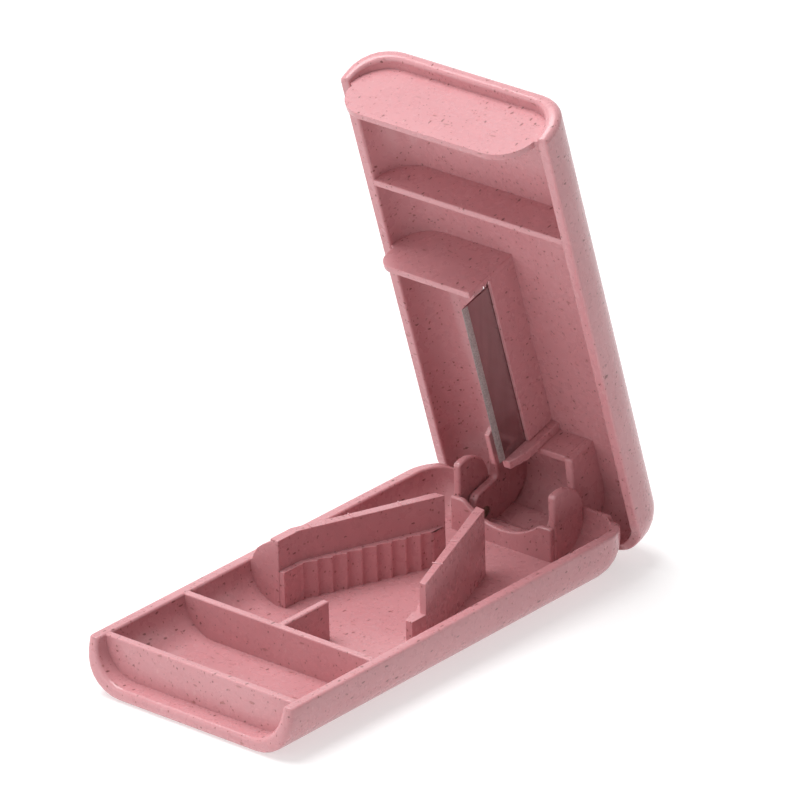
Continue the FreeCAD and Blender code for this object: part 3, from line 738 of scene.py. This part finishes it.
lug = [(-12.3, CEILING_IN), (-12.3, LID_RIM + 0.8), (-4.5, LID_RIM - 0.5), (-4.1, LID_RIM - 1.1)]
lug += arc((-2.6, -0.35), TOE_R, 180, 258, 6) + arc((0, 0), EYE_R, 235, 360, 14)
lug += [(EYE_R, LID_CEILING - 4.6), (1.6, LID_CEILING - 1.8), (-0.8, CEILING_IN)]
for name, low, high in (("right_hinge_lug", LUG_INNER, LUG_OUTER),
                        ("left_hinge_lug", -LUG_OUTER, -LUG_INNER)):
    bore = cutter(circle((0, 0), BORE_R), "x", low - 1, high + 1)
    solid_lug = finished(drawn_out(lug, "x", low, high), name, EAR_SOFT)
    piece(name, carved(solid_lug, bore), "lid")

apron = [(APRON_REACH, LID_RIM + 0.3), (APRON_REACH, 1.0)]
apron += arc((0, 0), BARREL_R, 8, -100, 18) + arc((0, 0), BARREL_INNER_R, -100, 20, 18)
apron += [(2.85, 2.0), (2.85, LID_RIM + 1.6), (3.5, LID_RIM + 1.6), (3.6, LID_RIM + 0.3)]
slab("hinge_apron", apron, "x", -APRON_HALF, APRON_HALF, "lid", soft=0.2)

# ------------------------------------------------------------------ floor, light and camera
FLOOR_TONE, FLOOR_GLOW = 0.55, 0.52
AIM = (0, 0.01, 0.03)

# The studio's brightness: as seen and reflected, and as it lights surfaces from -X and from +X.
SEEN, FROM_LEFT, FROM_RIGHT, SIDE_EDGE = 1.05, 0.74, 0.16, 0.6

LENS, SENSOR = 418.53, 36.0
CAMERA_PLACE = (908.93, -1024.33, 673.28)
AZIMUTH, ELEVATION, ROLL = math.radians(41.30), math.radians(24.76), math.radians(-1.539)


def lay_floor():
    """A plain pale floor. Its glow keeps it near white under the soft light."""
    ground = bmesh.new()
    bmesh.ops.create_grid(ground, x_segments=1, y_segments=1, size=4.0)
    mesh = bpy.data.meshes.new("floor")
    ground.to_mesh(mesh)
    ground.free()
    floor = bpy.data.objects.new("floor", mesh)
    bpy.context.collection.objects.link(floor)
    pale = Nodes("pale_floor")
    pale.shader.inputs["Base Color"].default_value = (FLOOR_TONE, FLOOR_TONE, FLOOR_TONE, 1)
    pale.shader.inputs["Emission Color"].default_value = (*WHITE, 1)
    pale.shader.inputs["Emission Strength"].default_value = FLOOR_GLOW
    pale.shader.inputs["Roughness"].default_value = 0.8
    mesh.materials.append(pale.material)


def light_studio():
    """A white world. What it throws on surfaces is dimmer than what is seen, and comes from -X."""
    world = bpy.data.worlds.new("studio")
    world.use_nodes = True
    nodes, links = world.node_tree.nodes, world.node_tree.links
    background = nodes["Background"]
    background.inputs["Color"].default_value = (*WHITE, 1)
    rays = nodes.new("ShaderNodeLightPath")
    direction = nodes.new("ShaderNodeTexCoord")
    axes = nodes.new("ShaderNodeSeparateXYZ")
    thrown = nodes.new("ShaderNodeMapRange")
    strength = nodes.new("ShaderNodeMix")
    thrown.inputs["From Min"].default_value = -SIDE_EDGE
    thrown.inputs["From Max"].default_value = SIDE_EDGE
    thrown.inputs["To Min"].default_value = FROM_LEFT
    thrown.inputs["To Max"].default_value = FROM_RIGHT
    strength.inputs["A"].default_value = SEEN
    links.new(direction.outputs["Generated"], axes.inputs["Vector"])
    links.new(axes.outputs["X"], thrown.inputs["Value"])
    links.new(thrown.outputs["Result"], strength.inputs["B"])
    links.new(rays.outputs["Is Diffuse Ray"], strength.inputs["Factor"])
    links.new(strength.outputs["Result"], background.inputs["Strength"])
    bpy.context.scene.world = world
    bpy.context.scene.view_settings.view_transform = "Standard"


def area(name, where, size, power):
    """A rectangular light that faces the object."""
    data = bpy.data.lights.new(name, "AREA")
    data.shape = "RECTANGLE"
    data.size, data.size_y = size
    data.energy = power
    lamp = bpy.data.objects.new(name, data)
    bpy.context.collection.objects.link(lamp)
    lamp.location = where
    lamp.rotation_euler = (Vector(AIM) - Vector(where)).to_track_quat("-Z", "Y").to_euler()


def place_camera():
    """The photograph's camera: its place in millimetres, where it looks, and its roll."""
    data = bpy.data.cameras.new("camera")
    data.lens = LENS
    data.sensor_width = SENSOR
    data.clip_end = 20.0
    camera = bpy.data.objects.new("camera", data)
    bpy.context.collection.objects.link(camera)
    back = Vector((math.sin(AZIMUTH) * math.cos(ELEVATION), -math.cos(AZIMUTH) * math.cos(ELEVATION),
                   math.sin(ELEVATION)))
    level = Vector((math.cos(AZIMUTH), math.sin(AZIMUTH), 0))
    upright = back.cross(level)
    right = math.cos(ROLL) * level + math.sin(ROLL) * upright
    up = -math.sin(ROLL) * level + math.cos(ROLL) * upright
    turn = Matrix((right, up, back)).transposed()
    camera.matrix_world = Matrix.Translation(Vector(CAMERA_PLACE) * MM) @ turn.to_4x4()
    bpy.context.scene.camera = camera


lay_floor()
light_studio()
area("key", (-0.26, -0.04, 0.92), (0.6, 0.6), 8.8)
area("front", (-0.20, -0.85, 0.28), (0.8, 0.5), 1.9)
place_camera()
